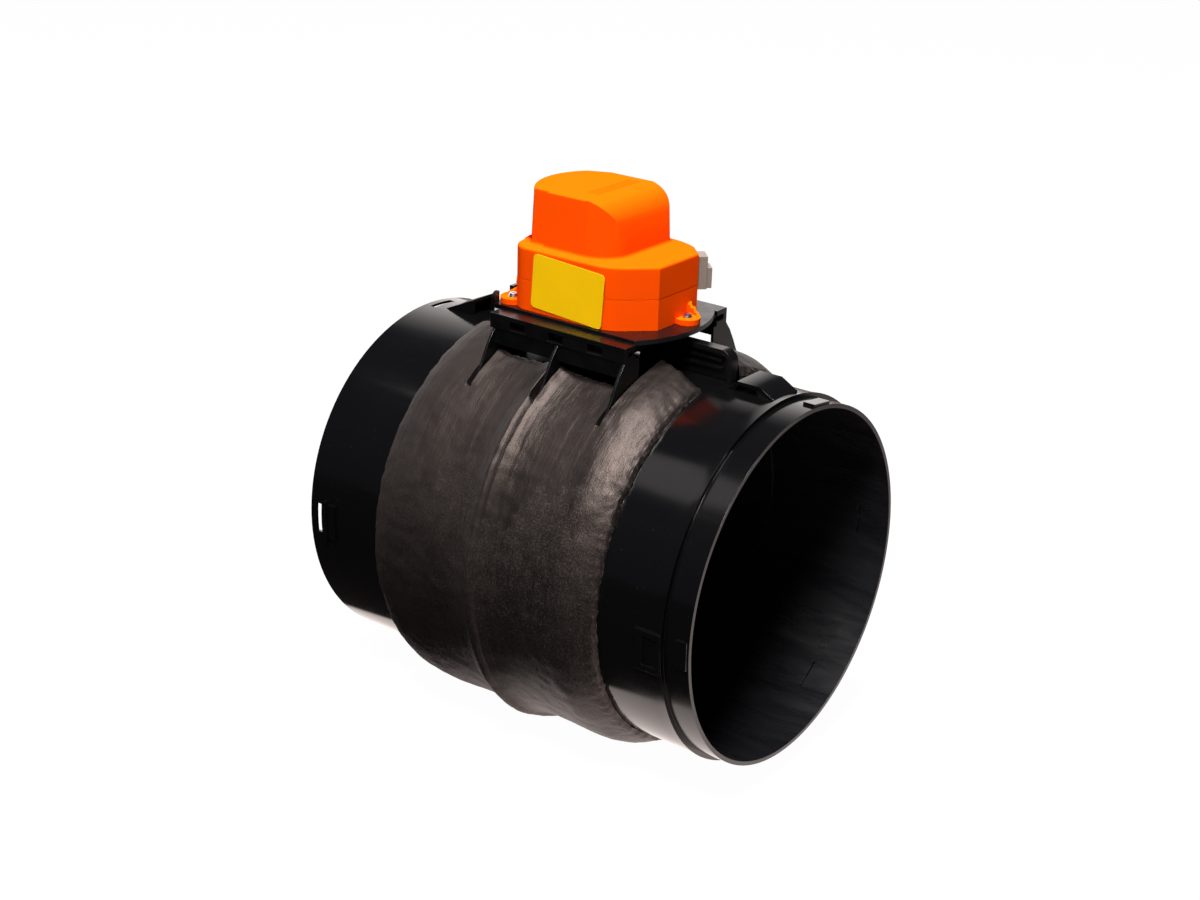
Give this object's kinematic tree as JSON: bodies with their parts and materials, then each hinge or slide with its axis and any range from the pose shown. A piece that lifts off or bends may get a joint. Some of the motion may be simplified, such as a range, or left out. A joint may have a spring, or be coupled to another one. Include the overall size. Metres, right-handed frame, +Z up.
{
  "type": "motorized duct damper",
  "caption": "Round motorized duct damper: black plastic barrel with a dark foam wrap and an orange geared motor case on rails, blade inside turned by a vertical shaft.",
  "frame": {"origin": "centre of the inlet socket's mouth, on the duct's axis", "axes": "+X along the duct from the inlet socket to the outlet spigot, +Z up towards the motor case, -Y the front with the label"},
  "size_m": [0.2553, 0.2276, 0.3031],
  "materials": {
    "barrel_plastic": "glossy moulded",
    "rail_plastic": "satin moulded",
    "foam": "matt closed-cell foam",
    "orange_plastic": "glossy moulded",
    "label": "smooth film",
    "screw_steel": "zinc plated",
    "sheet_steel": "plated",
    "seal_rubber": "matt",
    "blade_plastic": "satin moulded",
    "gear_plastic": "natural acetal",
    "brass": "machined",
    "board": "lacquered laminate",
    "switch_plastic": "satin moulded",
    "plunger_plastic": "satin moulded",
    "socket_plastic": "satin moulded"
  },
  "bodies": {
    "barrel": {"inlet_collar": "barrel_plastic", "middle_barrel": "barrel_plastic", "outlet_collar": "barrel_plastic", "front_rail": "rail_plastic", "rear_rail": "rail_plastic", "ribbed_box": "rail_plastic", "foam_wrap": "foam", "upper_bush": "gear_plastic", "lower_bush": "gear_plastic", "shaft_cap": "barrel_plastic"},
    "motor_case": {"motor_plate": "rail_plastic", "case_base": "orange_plastic", "case_cover": "orange_plastic", "case_label": "label", "ear_screws": "screw_steel", "case_screws": "screw_steel", "gear_bridge": "sheet_steel", "bridge_screws": "screw_steel", "motor_can": "sheet_steel", "motor_screws": "screw_steel", "idler_axle": "screw_steel", "output_bush": "gear_plastic", "circuit_board": "board", "board_screws": "screw_steel", "closed_switch": "switch_plastic", "open_switch": "switch_plastic", "wiring_socket": "socket_plastic", "socket_pins": "brass"},
    "blade": {"blade_shaft": "screw_steel", "outlet_disc": "blade_plastic", "inlet_disc": "blade_plastic", "blade_seal": "seal_rubber", "blade_rivets": "screw_steel"},
    "output_gear": {"output_gear": "gear_plastic"},
    "idler": {"idler_gear": "gear_plastic"},
    "pinion": {"motor_pinion": "brass"},
    "closed_plunger": {"closed_plunger": "plunger_plastic"},
    "open_plunger": {"open_plunger": "plunger_plastic"}
  },
  "joints": [
    {"name": "blade_turn", "type": "hinge", "parent": "barrel", "child": "blade", "pos_m": [0.12765, 0, 0], "axis": [0, 0, 1], "range_deg": [0, 90]},
    {"name": "motor_slide", "type": "slide", "parent": "barrel", "child": "motor_case", "axis": [-1, 0, 0], "range_m": [0, 0.07]},
    {"name": "output_gear_turn", "type": "hinge", "parent": "motor_case", "child": "output_gear", "pos_m": [0.12765, 0, 0.13], "axis": [0, 0, 1], "range_deg": [0, 90]},
    {"name": "idler_turn", "type": "hinge", "parent": "motor_case", "child": "idler", "pos_m": [0.10566, 0.00961, 0.13], "axis": [0, 0, 1], "range_deg": [-270, 0]},
    {"name": "pinion_turn", "type": "hinge", "parent": "motor_case", "child": "pinion", "pos_m": [0.11366, -0.00425, 0.137], "axis": [0, 0, 1], "range_deg": [0, 810]},
    {"name": "closed_switch_press", "type": "slide", "parent": "motor_case", "child": "closed_plunger", "axis": [0.7071, -0.7071, 0], "range_m": [0, 0.0007], "stiffness_N_per_m": 250, "springref_m": -0.0004},
    {"name": "open_switch_press", "type": "slide", "parent": "motor_case", "child": "open_plunger", "axis": [0.7071, 0.7071, 0], "range_m": [0, 0.0007], "stiffness_N_per_m": 250, "springref_m": -0.0004}
  ],
  "couplings": [
    {"joint": "output_gear_turn", "follows": "blade_turn", "ratio": 1},
    {"joint": "idler_turn", "follows": "blade_turn", "ratio": -3},
    {"joint": "pinion_turn", "follows": "blade_turn", "ratio": 9}
  ]
}
